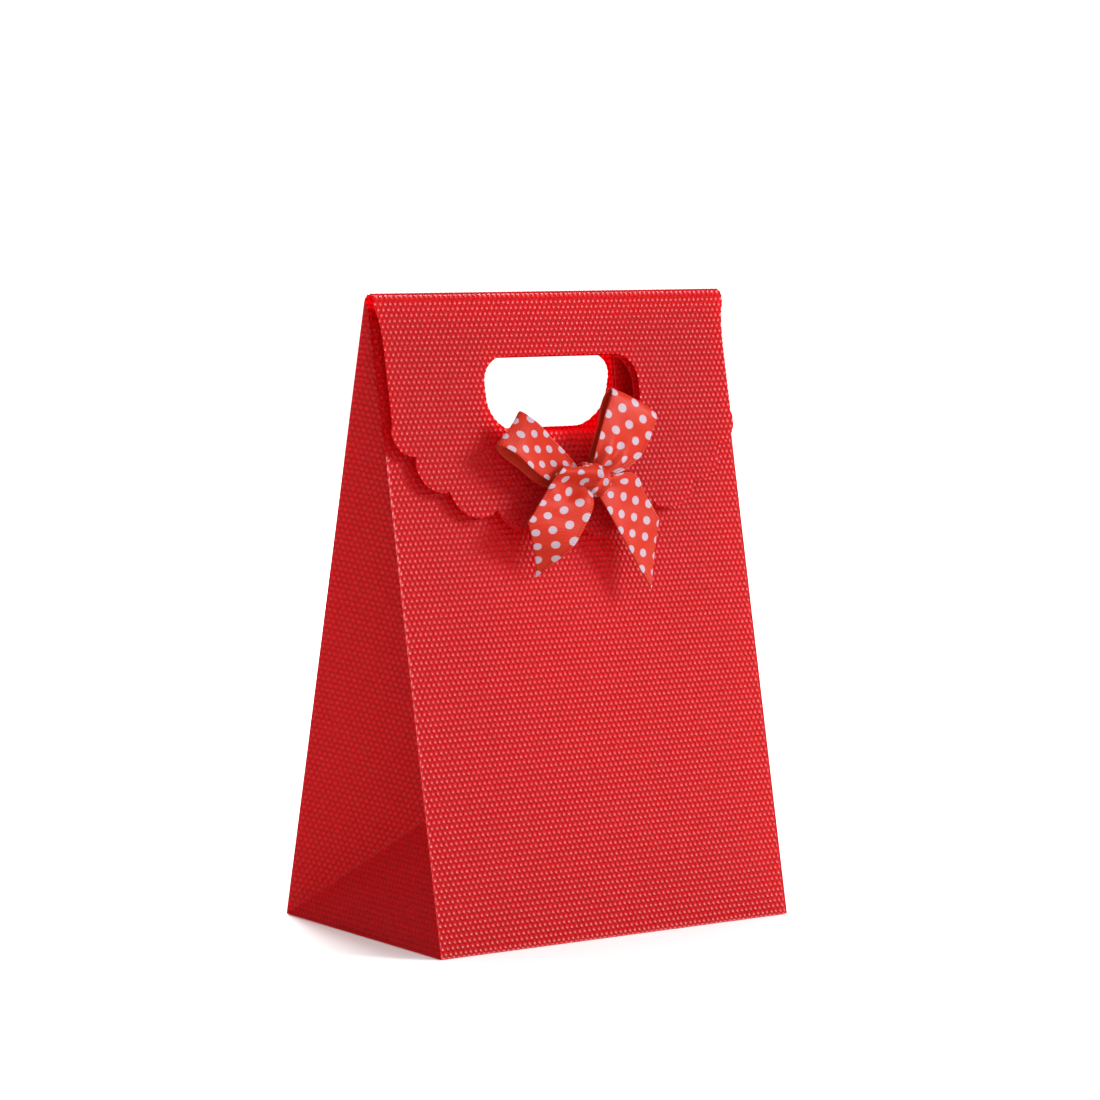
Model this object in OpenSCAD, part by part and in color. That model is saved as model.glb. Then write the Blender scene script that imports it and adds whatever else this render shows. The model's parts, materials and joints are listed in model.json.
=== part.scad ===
// Small gift bag folded from one die-cut sheet of embossed plastic: a rectangular base, two panels
// that lean together at a ridge, side gussets folded inward, a scalloped flap that comes over the
// ridge and a ribbon bow. The front faces -Y. The origin is the centre of the base, on the floor.

/* [Bag] */
// Width of the base and of both panels, along X
bag_w = 125; // [118:1:140]
// Depth of the base, along Y
bag_d = 80; // [72:1:88]
// Height of the top of the ridge
ridge_h = 184; // [176:1:200]
// Thickness of the plastic sheet
sheet_t = 0.5; // [0.4:0.05:0.6]

/* [Ridge and mouth] */
// Outside radius of the fold over the ridge
fold_r = 2.7; // [2.5:0.1:3]
// Half the distance between the panels' outer faces, level with the fold's centre
throat_half = 1.2; // [1.1:0.05:1.3]
// How far the front panel and the gussets stop below the ridge
mouth_drop = 7.6; // [7.4:0.1:9]

/* [Flap] */
// Half width of the flap below its shoulders
flap_half_w = 60.9; // [60:0.1:61.5]
// Height of each scallop as a share of its width
scallop_bulge = 0.27; // [0.15:0.01:0.35]

/* [Hand hole] */
// Width of the hand hole
hole_w = 55.5; // [40:0.5:60]
// Height of the hand hole along the panel
hole_h = 22; // [21.5:0.5:26]
// Distance from the ridge down the slant to the middle of the hand hole
hole_drop = 30.3; // [28:0.1:34]
// Corner radius of the hand hole at its top
hole_top_r = 8; // [6:0.5:10]
// Corner radius of the hand hole at its bottom
hole_bottom_r = 10.5; // [8:0.5:10.5]

/* [Bow] */
// Width of the ribbon
ribbon_w = 15; // [10:0.5:15]
// Thickness of the ribbon
ribbon_t = 0.5; // [0.4:0.05:0.6]
// Length of each loop from the knot's middle to its tip
loop_reach = 29; // [24:0.5:30]
// Radius of the round end of each loop
loop_r = 3.4; // [2.5:0.1:4]

/* [Clearances] */
// Bare strip left along a folded edge beside a leaning panel
crease_gap = 1.7; // [1.6:0.1:2]
// Bare strip left along a fold between two gusset facets
fold_gap = 0.6; // [0.5:0.05:0.8]
// Gap between the two layers of a folded gusset
layer_gap = 0.9; // [0.8:0.05:1]

/* [Hidden] */
$fn = 64;

half_w = bag_w / 2;
half_d = bag_d / 2;

// The panels' outer planes would meet at apex_h, a little above the round fold
fold_z = ridge_h - fold_r;
apex_h = fold_z / (1 - throat_half / half_d);
lean = atan(half_d / apex_h);
slant = norm([half_d, apex_h]);
fold_y = throat_half - fold_r / cos(lean);

// Places along the slant, measured from the bottom crease
ridge_s = ridge_h / cos(lean);
mouth_s = (ridge_h - mouth_drop) / cos(lean);
front_fold_s = (half_d + fold_y) * sin(lean) + fold_z * cos(lean);
back_fold_s = (half_d - fold_y) * sin(lean) + fold_z * cos(lean);
// The flap turns about the crease where the back panel ends and the round fold begins. The back
// panel stops short of it, and the fold goes on down the front slope for fold_tail.
ridge_gap = 1;
fold_tail = 1.8;
bottom_gap = 0.8;

// The flap hangs parallel to the front panel, this far in front of it
stand_off = 2 * (fold_r - throat_half * cos(lean));

// Corners of the right-hand gusset: its bottom front and back corners, the ridge end, the apex
// where its folds meet, and the top of its centre crease
bottom_tilt = acos((1 - sin(lean)) / cos(lean));
corner_front = [half_w, -half_d, 0];
corner_back = [half_w, half_d, 0];
ridge_end = [half_w, 0, apex_h];
gusset_apex = [half_w - half_d * sin(bottom_tilt), 0, half_d * cos(bottom_tilt)];
crease_tilt = atan(half_d / (slant - half_d))
    - atan2(ridge_end.x - gusset_apex.x, ridge_end.z - gusset_apex.z);
crease_top = gusset_apex + (slant - half_d) * [-sin(crease_tilt), 0, cos(crease_tilt)];
// The same three lines where the mouth's cut edge crosses them
mouth_outer = corner_front + (ridge_end - corner_front) * mouth_s / slant;
mouth_middle = ridge_end + (gusset_apex - ridge_end) * (slant - mouth_s) / (slant - half_d);
mouth_inner = gusset_apex + (crease_top - gusset_apex) * (mouth_s - half_d) / (slant - half_d);

// The flap's shoulders and the notches between its scallops: half width, drop below the ridge
flap_shoulders = [[61.6, 8], [61.1, 12], [flap_half_w, 17]];
flap_notches = [[flap_half_w, 37.7], [54.2, 47.2], [43.7, 57.8], [28, 63.6], [14, 67.8], [0, 69.3]];

disc_r = 6;
disc_t = 1.05;
disc_drop = 59;

// Bow: the knot's middle on the flap, then directions in the flap's plane
knot_x = 0.8;
knot_drop = 56.7;
knot_r = 4.6;
knot_len = 9;
glue_r = 4;
glue_t = 0.8;
loop_lift = 5.4;
left_tail_lift = 3.4;
right_tail_lift = 2.6;
left_loop_dir = 149;
right_loop_dir = 52;
left_tail_dir = 236;
right_tail_dir = 301;
loop_start = 6.9;
tail_start = 5.4;
tail_short = 14;
tail_long = 33;

// ---------------------------------------------------------------- flat facets
function unit(v) = v / norm(v);
function cross2(a, b) = a.x * b.y - a.y * b.x;
function meet(p, u, q, v) = p + u * cross2(q - p, v) / cross2(u, v);

// Convex outline with each edge moved inward by its own margin
function inset(points, margins) =
    let (
        count = len(points),
        edge = [for (i = [0:count - 1]) unit(points[(i + 1) % count] - points[i])],
        base = [for (i = [0:count - 1]) points[i] + margins[i] * [-edge[i].y, edge[i].x]]
    )
    [for (i = [0:count - 1])
        let (before = (i + count - 1) % count)
        meet(base[before], edge[before], base[i], edge[i])];

// Sheet of the given outline in space. Its thickness goes to the side that the corners turn
// anticlockwise around, starting lift away from the outline's own plane.
module facet(points, margins, lift = 0) {
    u = unit(points[1] - points[0]);
    n = unit(cross(points[1] - points[0], points[2] - points[0]));
    v = cross(n, u);
    outline = [for (p = points) [(p - points[0]) * u, (p - points[0]) * v]];
    translate(points[0])
        rotate([atan2(v.z, n.z), asin(-u.z), atan2(u.y, u.x)])
            translate([0, 0, lift])
                linear_extrude(sheet_t)
                    polygon(inset(outline, margins));
}

module left_side() {
    mirror([1, 0, 0]) children();
}

module back_side() {
    mirror([0, 1, 0]) children();
}

module outer_facet() {
    facet([corner_front, mouth_outer, mouth_middle, gusset_apex], [crease_gap, 0, fold_gap, fold_gap]);
}

module inner_facet() {
    facet([mouth_middle, mouth_inner, gusset_apex], [0, fold_gap, fold_gap], layer_gap / 2);
}

module bottom_facet() {
    facet([corner_back, corner_front, gusset_apex], [crease_gap, fold_gap, fold_gap]);
}

// ---------------------------------------------------------------- leaning panels
// Draws children in the front panel's plane: x across, y up the slant, z outward from its face
module front_plane() {
    translate([0, -half_d, 0]) rotate([90 - lean, 0, 0]) children();
}

module hand_hole() {
    low = ridge_s - hole_drop - hole_h / 2;
    high = low + hole_h;
    for (side = [-1, 1]) {
        translate([side * (hole_w / 2 - hole_bottom_r), low + hole_bottom_r]) circle(hole_bottom_r);
        translate([side * (hole_w / 2 - hole_top_r), high - hole_top_r]) circle(hole_top_r);
    }
    translate([-hole_w / 2, low + hole_bottom_r])
        square([hole_w, hole_h - hole_bottom_r - hole_top_r]);
    translate([-hole_w / 2 + hole_bottom_r, low])
        square([hole_w - 2 * hole_bottom_r, hole_h - hole_top_r]);
    translate([-hole_w / 2 + hole_top_r, low + hole_bottom_r])
        square([hole_w - 2 * hole_top_r, hole_h - hole_bottom_r]);
}

module panel_sheet(top_s) {
    translate([0, 0, -sheet_t])
        linear_extrude(sheet_t)
            difference() {
                translate([-half_w, bottom_gap]) square([bag_w, top_s - bottom_gap]);
                hand_hole();
            }
}

module front_panel() {
    color("crimson") front_plane() panel_sheet(mouth_s);
}

module back_panel() {
    color("crimson") back_side() front_plane() panel_sheet(back_fold_s - ridge_gap);
}

// Strip of the blank that is glued inside the back panel beside its right-hand crease
module glue_tab() {
    tab_w = 12;
    edge_gap = 2.8;
    color("firebrick")
        back_side() front_plane()
            translate([half_w - edge_gap - tab_w, 4, -2 * sheet_t])
                cube([tab_w, mouth_s - 8, sheet_t]);
}

// Bar along the ridge: round on top, then straight down the front slope for the given length.
// The straight part reaches into the round part, so that the two make one solid.
module ridge_bar(r, front_tail, length) {
    back = r * [cos(lean), sin(lean)];
    front = r * [-cos(lean), sin(lean)];
    down = front_tail * [sin(lean), cos(lean)];
    intersection() {
        cylinder(r = r, h = length);
        linear_extrude(length) polygon([[0, 0], 3 * back, [0, 3 * r], 3 * front]);
    }
    linear_extrude(length) polygon([[0, 0], [0, r / 2], front, front - down, -down]);
}

// The rounded stretch of sheet over the ridge, from the back crease to the flap
module ridge_fold() {
    color("crimson")
        translate([-half_w, fold_y, fold_z]) rotate([90, 0, 90]) difference() {
            ridge_bar(fold_r, fold_tail, bag_w);
            translate([0, 0, -1]) ridge_bar(fold_r - sheet_t, 2 * fold_tail, bag_w + 2);
        }
}

// Round plate that passes through two notches and bulges outward between them
module scallop(a, b) {
    chord = norm(b - a);
    rise = scallop_bulge * chord;
    r = (chord * chord / 4 + rise * rise) / (2 * rise);
    out = [a.y - b.y, b.x - a.x] / chord;
    centre = (a + b) / 2 + (rise - r) * out;
    translate([centre.x, centre.y, 0]) cylinder(r = r, h = sheet_t);
}

module flap() {
    right = [for (p = concat(flap_shoulders, flap_notches)) [p.x, ridge_s - p.y]];
    left = [for (i = [len(right) - 2:-1:0]) [-right[i].x, right[i].y]];
    top = [half_w, front_fold_s - fold_tail];
    notches = [for (p = flap_notches) [p.x, ridge_s - p.y]];
    color("crimson")
        front_plane() translate([0, 0, stand_off - sheet_t]) difference() {
            union() {
                linear_extrude(sheet_t) polygon(concat([[-top.x, top.y], top], right, left));
                for (side = [0, 1], i = [0:len(notches) - 2])
                    mirror([side, 0, 0]) scallop(notches[i], notches[i + 1]);
            }
            translate([0, 0, -sheet_t]) linear_extrude(3 * sheet_t) hand_hole();
        }
}

// ---------------------------------------------------------------- gussets
module gusset_right_front_outer() {
    color("brown") outer_facet();
}

module gusset_right_front_inner() {
    color("darkred") inner_facet();
}

module gusset_right_back_outer() {
    color("brown") back_side() outer_facet();
}

module gusset_right_back_inner() {
    color("darkred") back_side() inner_facet();
}

module gusset_right_bottom() {
    color("firebrick") bottom_facet();
}

module gusset_left_front_outer() {
    color("brown") left_side() outer_facet();
}

module gusset_left_front_inner() {
    color("darkred") left_side() inner_facet();
}

module gusset_left_back_outer() {
    color("brown") left_side() back_side() outer_facet();
}

module gusset_left_back_inner() {
    color("darkred") left_side() back_side() inner_facet();
}

module gusset_left_bottom() {
    color("firebrick") left_side() bottom_facet();
}

// ---------------------------------------------------------------- base
// The front flap is outermost. The back flap steps up over its edge, and the side flaps lie inside.
base_edge = 0.6;
base_lap = 12;

module bottom_front_flap() {
    color("crimson")
        translate([-half_w + base_edge, -half_d + base_edge, 0])
            cube([bag_w - 2 * base_edge, half_d - base_edge + base_lap, sheet_t]);
}

module bottom_back_flap() {
    color("firebrick")
        translate([-half_w + base_edge, 0, 0]) rotate([90, 0, 90])
            linear_extrude(bag_w - 2 * base_edge)
                polygon([
                    [half_d - base_edge, 0], [half_d - base_edge, sheet_t],
                    [base_lap + 2 * sheet_t, sheet_t], [base_lap + 2 * sheet_t, 2 * sheet_t],
                    [-base_lap, 2 * sheet_t], [-base_lap, sheet_t],
                    [base_lap + sheet_t, sheet_t], [base_lap + sheet_t, 0]
                ]);
}

module bottom_right_flap() {
    flap_in = 24;
    flap_out = 3.4;
    color("brown")
        translate([flap_in, -half_d + 3, 2 * sheet_t])
            cube([half_w - flap_out - flap_in, bag_d - 6, sheet_t]);
}

module bottom_left_flap() {
    left_side() bottom_right_flap();
}

// ---------------------------------------------------------------- fastener
module hook_disc() {
    color("maroon")
        front_plane() translate([0, ridge_s - disc_drop, stand_off - sheet_t - disc_t])
            cylinder(r = disc_r, h = disc_t);
}

module loop_disc() {
    color("darkred")
        front_plane() translate([0, ridge_s - disc_drop, 0]) cylinder(r = disc_r, h = disc_t);
}

// ---------------------------------------------------------------- bow
// Draws children on the flap's face: origin at the knot, x turned to the given direction
module on_flap(direction) {
    front_plane()
        translate([knot_x, ridge_s - knot_drop, stand_off])
            rotate([0, 0, direction]) children();
}

// Drop-shaped prism with its point at the origin and its round end at reach
module drop_prism(r, reach, depth) {
    far = reach - r;
    touch = acos(r / far);
    translate([far, 0, 0]) cylinder(r = r, h = depth, center = true);
    linear_extrude(depth, center = true)
        polygon([
            [0, 0], [far - r * cos(touch), -r * sin(touch)],
            [far, 0], [far - r * cos(touch), r * sin(touch)]
        ]);
}

// One loop: a band of ribbon that goes out to a round tip and comes back
module ribbon_loop() {
    translate([0, 0, loop_lift]) rotate([90, 0, 0]) difference() {
        drop_prism(loop_r, loop_reach, ribbon_w);
        translate([2 * ribbon_t, 0, 0])
            drop_prism(loop_r - ribbon_t, loop_reach - 3 * ribbon_t, ribbon_w + 1);
        translate([-1, -loop_r, -ribbon_w])
            cube([loop_start + 1, 2 * loop_r, 2 * ribbon_w]);
    }
}

// One tail: a flat band with a slanting cut end. The long side is the one at +Y or -Y.
module ribbon_tail(long_side, lift) {
    side = long_side * ribbon_w / 2;
    translate([0, 0, lift])
        linear_extrude(ribbon_t)
            polygon([[tail_start, -side], [tail_start, side], [tail_long, side], [tail_short, -side]]);
}

module bow_loop_left() {
    color("orangered") on_flap(left_loop_dir) ribbon_loop();
}

module bow_loop_right() {
    color("orangered") on_flap(right_loop_dir) ribbon_loop();
}

module bow_tail_left() {
    color("tomato") on_flap(left_tail_dir) ribbon_tail(1, left_tail_lift);
}

module bow_tail_right() {
    color("tomato") on_flap(right_tail_dir) ribbon_tail(-1, right_tail_lift);
}

// The knot is a short barrel that lies across the ribbon
module bow_knot() {
    color("orangered")
        on_flap(-20) translate([0, 0, glue_t + knot_r]) rotate([90, 0, 0]) rotate_extrude()
            intersection() {
                translate([0, -knot_len / 2]) square([knot_r, knot_len]);
                translate([-knot_len / 2, 0]) circle(knot_len / 2 + knot_r);
            }
}

module bow_glue_dot() {
    color("ivory") on_flap(0) cylinder(r = glue_r, h = glue_t);
}

front_panel();
back_panel();
ridge_fold();
flap();
gusset_left_front_outer();
gusset_left_front_inner();
gusset_left_back_outer();
gusset_left_back_inner();
gusset_left_bottom();
gusset_right_front_outer();
gusset_right_front_inner();
gusset_right_back_outer();
gusset_right_back_inner();
gusset_right_bottom();
bottom_front_flap();
bottom_back_flap();
bottom_left_flap();
bottom_right_flap();
glue_tab();
hook_disc();
loop_disc();
bow_loop_left();
bow_loop_right();
bow_tail_left();
bow_tail_right();
bow_knot();
bow_glue_dot();
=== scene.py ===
"""Looks of the small gift bag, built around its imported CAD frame.

The bag is folded from one die-cut sheet that is embossed all over with small round pits. Each flat
facet is a skin cut from the same pattern of pits. The pattern is laid out on the flat blank and
mapped onto the facet's plane, so the rows run on from facet to facet as on the real sheet. The
ribbon bow is modelled over its plain CAD solids. The base, the glue tab, the glue dot and the hook
and loop discs are the CAD nodes themselves.
"""

import json
import math

import bpy
import numpy as np
from mathutils import Matrix, Vector, geometry


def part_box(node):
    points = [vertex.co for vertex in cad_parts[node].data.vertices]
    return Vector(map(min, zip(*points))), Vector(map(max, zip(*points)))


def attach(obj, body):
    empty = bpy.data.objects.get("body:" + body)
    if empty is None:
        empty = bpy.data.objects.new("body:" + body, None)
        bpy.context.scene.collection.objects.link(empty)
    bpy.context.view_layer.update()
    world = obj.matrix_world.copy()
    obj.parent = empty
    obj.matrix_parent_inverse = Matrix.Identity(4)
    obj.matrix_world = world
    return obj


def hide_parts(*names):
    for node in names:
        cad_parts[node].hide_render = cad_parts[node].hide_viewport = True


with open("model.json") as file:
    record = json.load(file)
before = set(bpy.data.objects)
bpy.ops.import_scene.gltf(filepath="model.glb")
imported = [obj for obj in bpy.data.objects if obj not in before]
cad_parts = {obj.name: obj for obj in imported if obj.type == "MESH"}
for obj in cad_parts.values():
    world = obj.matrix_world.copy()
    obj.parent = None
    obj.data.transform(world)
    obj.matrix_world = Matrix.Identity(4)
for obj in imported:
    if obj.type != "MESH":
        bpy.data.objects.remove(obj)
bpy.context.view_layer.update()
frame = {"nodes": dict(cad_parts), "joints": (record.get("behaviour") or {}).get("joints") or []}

MM = 0.001

# ---------------------------------------------------------------- sizes from the frame
JOINTS = {j["name"]: j for j in frame["joints"]}


def pivot(name):
    return np.array(JOINTS[name]["pos_m"], float)


def axis(name):
    return np.array(JOINTS[name]["axis"], float)


def unit(v):
    return v / np.linalg.norm(v)


# The bag's front right bottom corner gives its half width and half depth. The panels lean in by
# LEAN from the vertical, and their planes would meet SLANT up from the foot.
CORNER = pivot("gusset_right_front_edge_fold")
HALF_W = CORNER[0]
HALF_D = -CORNER[1]
EDGE_FOLD = axis("gusset_right_front_edge_fold")
LEAN = math.atan2(abs(EDGE_FOLD[1]), abs(EDGE_FOLD[2]))
SIN, COS = math.sin(LEAN), math.cos(LEAN)
APEX = pivot("gusset_right_front_inner_fold")
SLANT = HALF_D / SIN
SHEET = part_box("bottom_front_flap")[1].z
# Names that end in _S are measured up the slant from the foot
RIDGE_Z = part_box("ridge_fold")[1].z
RIDGE_S = RIDGE_Z / COS
MOUTH_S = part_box("front_panel")[1].z / COS
CREASE = pivot("flap_hinge")
BACK_FOLD_S = CREASE[2] / COS
# The gussets stop below the round fold, clear of the flap as it swings past. Only the strip next to
# the back panel goes on to the crease.
GUSSET_S = (RIDGE_Z - 4 * MM) / COS
BACK_EDGE_S = BACK_FOLD_S - 0.4 * MM
# The round fold starts at the crease: its outer radius, its centre and its length over the top.
# The flap hangs STAND_OFF in front of the front panel's plane.
FOLD_R = (RIDGE_Z - CREASE[2]) / (1 - SIN)
FOLD_Y = CREASE[1] - FOLD_R * COS
FOLD_Z = CREASE[2] - FOLD_R * SIN
FRONT_FOLD_S = (FOLD_Y + HALF_D) * SIN + FOLD_Z * COS
STAND_OFF = FOLD_R - ((FOLD_Y + HALF_D) * COS - FOLD_Z * SIN)
FOLD_ARC = FOLD_R * (math.pi - 2 * LEAN)
# Each gusset's two inner facets lie this far from the middle plane
LAYER_GAP = 0.45 * MM
SHARP_ANGLE = math.radians(50)
FRONT_UP = np.array([0, SIN, COS])
BACK_UP = np.array([0, -SIN, COS])
RIGHT = np.array([1.0, 0, 0])
FLAP_OUT = np.array([0, -COS, SIN])

# How far a skin's inner face stays inside each kind of fold
EDGE_MITRE = 1.96 * SHEET
FOOT_MITRE = SHEET * math.tan((math.pi / 2 + LEAN) / 2)
INNER_FOLD_MITRE = 0.52 * SHEET
SLANTING_FOLD_MITRE = 0.5 * SHEET
GUSSET_FOOT_MITRE = 1.2 * SHEET

# ---------------------------------------------------------------- the embossed sheet
# Pits: spacing along a row and between rows, depth, radius of the floor, rise of its middle
PITCH = 1.70 * MM
ROW = 1.60 * MM
PIT_DEPTH = 0.30 * MM
PIT_FLOOR = 0.50 * MM
PIT_CENTRE = 0.04 * MM
# The pits fade out this close to a crease, and points this close to the outline move onto it
CREASE_FADE = 0.55 * MM
SNAP = 0.07 * MM

# Hand hole: its width and height along the sheet, its middle below the ridge, its corner radii
HOLE_W = 55.5 * MM
HOLE_H = 22 * MM
HOLE_S = RIDGE_S - 30.3 * MM
HOLE_TOP_R = 8 * MM
HOLE_BOTTOM_R = 10.5 * MM

# Flap: half width and drop below the ridge of its shoulders, then of the notches between scallops
SHOULDERS = [(61.6, 8), (61.1, 12), (60.9, 17)]
NOTCHES = [(60.9, 37.7), (54.2, 47.2), (43.7, 57.8), (28, 63.6), (14, 67.8), (0, 69.3)]
SCALLOP_BULGE = 0.27
# The flap is as wide as the panels down to here, below the round fold
FLAP_SHOULDER_DROP = 1.8 * MM


def arc_points(centre, r, start, end, step=5):
    """Points on an arc, about step degrees apart. The angles are in degrees."""
    count = max(2, int(abs(end - start) / step))
    angles = np.radians(np.linspace(start, end, count + 1))
    return [centre + r * np.array([math.cos(a), math.sin(a)]) for a in angles]


def hole_loop():
    """The hand hole's outline, clockwise, in blank coordinates."""
    top, low = HOLE_S + HOLE_H / 2, HOLE_S - HOLE_H / 2
    half = HOLE_W / 2
    points = []
    for x, s, r, start in (
        (half - HOLE_TOP_R, top - HOLE_TOP_R, HOLE_TOP_R, 0),
        (-half + HOLE_TOP_R, top - HOLE_TOP_R, HOLE_TOP_R, 90),
        (-half + HOLE_BOTTOM_R, low + HOLE_BOTTOM_R, HOLE_BOTTOM_R, 180),
        (half - HOLE_BOTTOM_R, low + HOLE_BOTTOM_R, HOLE_BOTTOM_R, 270),
    ):
        points += arc_points(np.array([x, s]), r, start, start + 90)
    return np.array(points[::-1])


def scallop_arc(a, b):
    """Points from notch a to notch b along the scallop that bulges outward between them."""
    a, b = np.array(a, float), np.array(b, float)
    chord = np.linalg.norm(b - a)
    rise = SCALLOP_BULGE * chord
    r = (chord * chord / 4 + rise * rise) / (2 * rise)
    out = np.array([a[1] - b[1], b[0] - a[0]]) / chord
    centre = (a + b) / 2 + (rise - r) * out
    start, end = (math.degrees(math.atan2(*(p - centre)[::-1])) for p in (a, b))
    if end > start:
        end -= 360
    return arc_points(centre, r, start, end, 6)[:-1]


class Blank:
    """An outline on the flat blank: closed loops, the outer one anticlockwise, in metres."""

    def __init__(self, loops, corners=()):
        self.loops = [np.array(loop, float) for loop in loops]
        self.starts = np.vstack(self.loops)
        self.ends = np.vstack([np.roll(loop, -1, axis=0) for loop in self.loops])
        self.corners = [np.array(c, float) for c in corners]

    def nearest(self, points):
        """Each point's nearest point on the outline, and its distance, positive inside."""
        edge = self.ends - self.starts
        length2 = (edge * edge).sum(1)
        best = np.full(len(points), 1e9)
        found = np.zeros_like(points)
        crossings = np.zeros(len(points), int)
        for a, b, e, l2 in zip(self.starts, self.ends, edge, length2):
            t = np.clip(((points - a) @ e) / l2, 0, 1)
            q = a + t[:, None] * e
            d = np.hypot(*(points - q).T)
            closer = d < best
            best[closer] = d[closer]
            found[closer] = q[closer]
            spans = (a[1] > points[:, 1]) != (b[1] > points[:, 1])
            rise = e[1] if e[1] else 1e-12
            crossings += spans & (points[:, 0] < e[0] * (points[:, 1] - a[1]) / rise + a[0])
        return found, np.where(crossings % 2 == 1, best, -best)


def anticlockwise(outline):
    """The blank of one outline, turned anticlockwise, with its points as sharp corners."""
    outline = [np.array(p) for p in outline]
    area = sum(np.cross(a, b) for a, b in zip(outline, outline[1:] + outline[:1]))
    if area < 0:
        outline = outline[::-1]
    return Blank([outline], outline)


def clipped(outline, point, inward, margin):
    """A convex outline cut back to the points at least margin inside a line."""
    result = []
    count = len(outline)
    depth = [(p - point) @ inward - margin for p in outline]
    for n in range(count):
        m = (n + 1) % count
        if depth[n] >= 0:
            result.append(outline[n])
        if depth[n] * depth[m] < 0:
            t = depth[n] / (depth[n] - depth[m])
            result.append(outline[n] + t * (outline[m] - outline[n]))
    return anticlockwise(result)


def lattice(low, high, row_start):
    """The plain pattern of pits over a rectangle: points, depths and triangles."""
    rows = range(int((low[1] - row_start) / ROW) - 2, int((high[1] - row_start) / ROW) + 3)
    half_columns = range(int(2 * low[0] / PITCH) - 3, int(2 * high[0] / PITCH) + 4)
    # Each pit fills a six-sided cell. tip is the distance from its middle to its top corner.
    tip = ROW / 2 + PITCH * PITCH / (8 * ROW)
    corner_angles = [math.atan2(tip - ROW, PITCH / 2), math.atan2(ROW - tip, PITCH / 2), math.pi / 2]
    ring = [(math.cos(a), math.sin(a)) for a in corner_angles]
    ring += [(-x, -y) for x, y in ring]
    points, depths, index, triangles = [], [], {}, []

    def add(key, x, y, depth):
        if key not in index:
            index[key] = len(points)
            points.append((x, y))
            depths.append(depth)
        return index[key]

    for j in rows:
        for i in half_columns:
            if (i + j) % 2:
                continue
            x, y = i * PITCH / 2, row_start + j * ROW
            around = [
                add(("top", i + 1, j - 1), x + PITCH / 2, y - ROW + tip, 0),
                add(("low", i + 1, j + 1), x + PITCH / 2, y + ROW - tip, 0),
                add(("top", i, j), x, y + tip, 0),
                add(("low", i - 1, j + 1), x - PITCH / 2, y + ROW - tip, 0),
                add(("top", i - 1, j - 1), x - PITCH / 2, y - ROW + tip, 0),
                add(("low", i, j), x, y - tip, 0),
            ]
            floor = [
                add((n, i, j), x + PIT_FLOOR * c, y + PIT_FLOOR * s, PIT_DEPTH)
                for n, (c, s) in enumerate(ring)
            ]
            middle = add(("mid", i, j), x, y, PIT_DEPTH - PIT_CENTRE)
            for n in range(6):
                m = (n + 1) % 6
                triangles += [
                    (around[n], around[m], floor[m]),
                    (around[n], floor[m], floor[n]),
                    (floor[n], floor[m], middle),
                ]
    return np.array(points), np.array(depths), np.array(triangles)


def cut(blank, row_start):
    """The pattern of pits cut to the blank's outline: points, depths and triangles."""
    low, high = blank.starts.min(0), blank.starts.max(0)
    points, depths, triangles = lattice(low, high, row_start)
    nearest, inside = blank.nearest(points)
    snapped = np.abs(inside) < SNAP
    points[snapped] = nearest[snapped]
    inside[snapped] = 0
    kept = (inside[triangles] >= 0).all(1) & (inside[triangles] > 0).any(1)
    mixed = (inside[triangles] > 0).any(1) & (inside[triangles] < 0).any(1)
    out = triangles[kept].tolist()
    extra, extra_depths, made = [], [], {}

    def crossing(a, b):
        key = (min(a, b), max(a, b))
        if key not in made:
            t = inside[a] / (inside[a] - inside[b])
            made[key] = len(points) + len(extra)
            extra.append(points[a] + t * (points[b] - points[a]))
            extra_depths.append(depths[a] + t * (depths[b] - depths[a]))
        return made[key]

    for triangle in triangles[mixed].tolist():
        piece = []
        for n in range(3):
            a, b = triangle[n], triangle[(n + 1) % 3]
            if inside[a] >= 0:
                piece.append(a)
            if inside[a] * inside[b] < 0:
                piece.append(crossing(a, b))
        out += [(piece[0], piece[n], piece[n + 1]) for n in range(1, len(piece) - 1)]
    if extra:
        on_edge, _ = blank.nearest(np.array(extra))
        points = np.vstack([points, on_edge])
        depths = np.concatenate([depths, extra_depths])
    used, faces = np.unique(np.array(out), return_inverse=True)
    return points[used], depths[used], faces.reshape(-1, 3)


def boundary_loops(faces):
    """The mesh's open edges, chained into loops of point indices."""
    edges = np.vstack([faces[:, [0, 1]], faces[:, [1, 2]], faces[:, [2, 0]]])
    there = set(map(tuple, edges.tolist()))
    follow = {}
    for a, b in there:
        if (b, a) not in there:
            follow.setdefault(a, []).append(b)
    loops = []
    while follow:
        path = [next(iter(follow))]
        while path:
            at = follow[path[-1]].pop()
            if not follow[path[-1]]:
                del follow[path[-1]]
            if at in path:
                start = path.index(at)
                loops.append(path[start:])
                path = path[: start + 1] if at in follow else path[:start]
            else:
                path.append(at)
    return [loop for loop in loops if len(loop) > 2]


def move_corners(blank, points, loops):
    """Moves the outline point nearest to each sharp corner onto that corner."""
    edge = np.array([i for loop in loops for i in loop])
    for corner in blank.corners:
        points[edge[np.argmin(np.hypot(*(points[edge] - corner).T))]] = corner


def mesh_object(name, points, faces, uvs=None):
    """A smooth-shaded mesh object, with one UV pair for each point."""
    mesh = bpy.data.meshes.new(name)
    mesh.from_pydata([tuple(p) for p in points], [], [tuple(f) for f in faces])
    mesh.validate()
    if uvs is not None:
        layer = mesh.uv_layers.new(name="UVMap")
        corner = np.zeros(len(mesh.loops), int)
        mesh.loops.foreach_get("vertex_index", corner)
        layer.data.foreach_set("uv", np.asarray(uvs, np.float32)[corner].ravel())
    mesh.shade_smooth()
    obj = bpy.data.objects.new(name, mesh)
    bpy.context.scene.collection.objects.link(obj)
    return obj


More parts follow.
